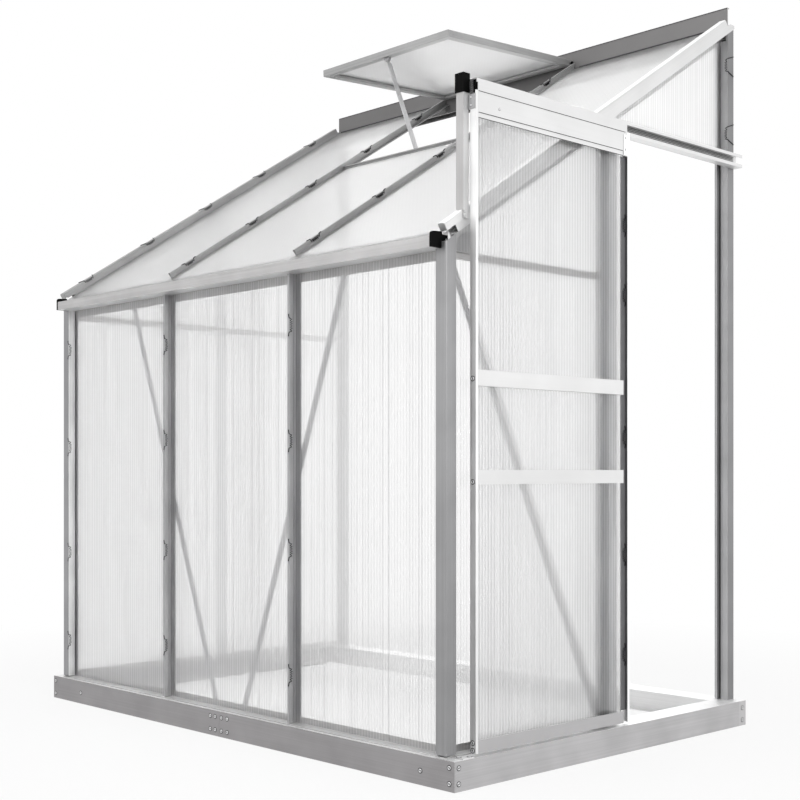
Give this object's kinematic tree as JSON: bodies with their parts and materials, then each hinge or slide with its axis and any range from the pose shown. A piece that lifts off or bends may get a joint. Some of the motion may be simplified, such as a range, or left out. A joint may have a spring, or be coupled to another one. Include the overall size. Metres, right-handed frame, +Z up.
{
  "type": "lean to greenhouse",
  "caption": "Lean to greenhouse with an aluminium frame, twin-wall sheets, a hung sliding door in one gable, a propped roof vent and a front gutter",
  "frame": {"origin": "on the ground, in the middle of the footprint with its gutter", "axes": "+X along the house wall to the gable with the door, +Y to the house wall, +Z up"},
  "size_m": [1.93, 1.314, 2.221],
  "materials": {
    "mill_aluminium": "mill finish extrusion",
    "base_aluminium": "dull folded sheet",
    "twin_wall": "translucent white twin-wall sheet, satin",
    "black_plastic": "moulded, satin",
    "roller_nylon": "moulded nylon"
  },
  "bodies": {
    "frame": {"base_front_left": "base_aluminium", "base_front_right": "base_aluminium", "base_end_door": "base_aluminium", "base_end_far": "base_aluminium", "base_rear": "base_aluminium", "sill_front": "mill_aluminium", "sill_door_end": "mill_aluminium", "sill_far_end": "mill_aluminium", "post_front_left": "mill_aluminium", "post_front_right": "mill_aluminium", "post_rear_left": "mill_aluminium", "post_rear_right": "mill_aluminium", "stud_front_left": "mill_aluminium", "stud_front_right": "mill_aluminium", "stud_far_end": "mill_aluminium", "door_jamb_stud": "mill_aluminium", "gutter": "mill_aluminium", "gutter_cap_left": "black_plastic", "gutter_cap_right": "black_plastic", "rail_far_end": "mill_aluminium", "rail_door_end": "mill_aluminium", "ridge_beam": "mill_aluminium", "rafter_far_end": "mill_aluminium", "rafter_left": "mill_aluminium", "rafter_right": "mill_aluminium", "rafter_door_end": "mill_aluminium", "vent_trimmer": "mill_aluminium", "brace_front_left": "mill_aluminium", "brace_front_right": "mill_aluminium", "brace_door_end": "mill_aluminium", "door_header": "mill_aluminium", "door_track": "mill_aluminium", "track_strut": "mill_aluminium", "strut_cap": "black_plastic", "panel_front_left": "twin_wall", "panel_front_middle": "twin_wall", "panel_front_right": "twin_wall", "panel_far_front": "twin_wall", "panel_far_rear": "twin_wall", "panel_door_end": "twin_wall", "panel_over_door": "twin_wall", "panel_roof_left": "twin_wall", "panel_roof_middle": "twin_wall", "panel_roof_right": "twin_wall"},
    "vent": {"vent_hinge_rail": "mill_aluminium", "vent_rail_left": "mill_aluminium", "vent_rail_right": "mill_aluminium", "vent_free_rail": "mill_aluminium", "vent_panel": "twin_wall"},
    "stay": {"vent_stay": "mill_aluminium"},
    "door": {"door_stile_front": "mill_aluminium", "door_stile_rear": "mill_aluminium", "door_head": "mill_aluminium", "door_rail_upper": "mill_aluminium", "door_rail_lower": "mill_aluminium", "door_rail_bottom": "mill_aluminium", "door_panel": "twin_wall"},
    "roller_front": {"door_roller_front": "roller_nylon"},
    "roller_rear": {"door_roller_rear": "roller_nylon"}
  },
  "joints": [
    {"name": "door_slide", "type": "slide", "parent": "frame", "child": "door", "axis": [0, 1, 0], "range_m": [0, 0.57]},
    {"name": "roller_front_spin", "type": "hinge", "parent": "door", "child": "roller_front", "pos_m": [0.94025, -0.489, 1.7398], "axis": [1, 0, 0], "continuous": true},
    {"name": "roller_rear_spin", "type": "hinge", "parent": "door", "child": "roller_rear", "pos_m": [0.94025, 0.019, 1.7398], "axis": [1, 0, 0], "continuous": true},
    {"name": "vent_hinge", "type": "hinge", "parent": "frame", "child": "vent", "pos_m": [0, 0.627, 2.183], "axis": [1, 0, 0], "range_deg": [0, 29.3]},
    {"name": "stay_fold", "type": "hinge", "parent": "vent", "child": "stay", "pos_m": [0.007, 0.04065, 2.13605], "axis": [1, 0, 0], "range_deg": [0, 71]}
  ],
  "couplings": [
    {"joint": "roller_front_spin", "follows": "door_slide", "rad_per_m": -62.5},
    {"joint": "roller_rear_spin", "follows": "door_slide", "rad_per_m": -62.5},
    {"joint": "stay_fold", "follows": "vent_hinge", "ratio": 2.41}
  ]
}
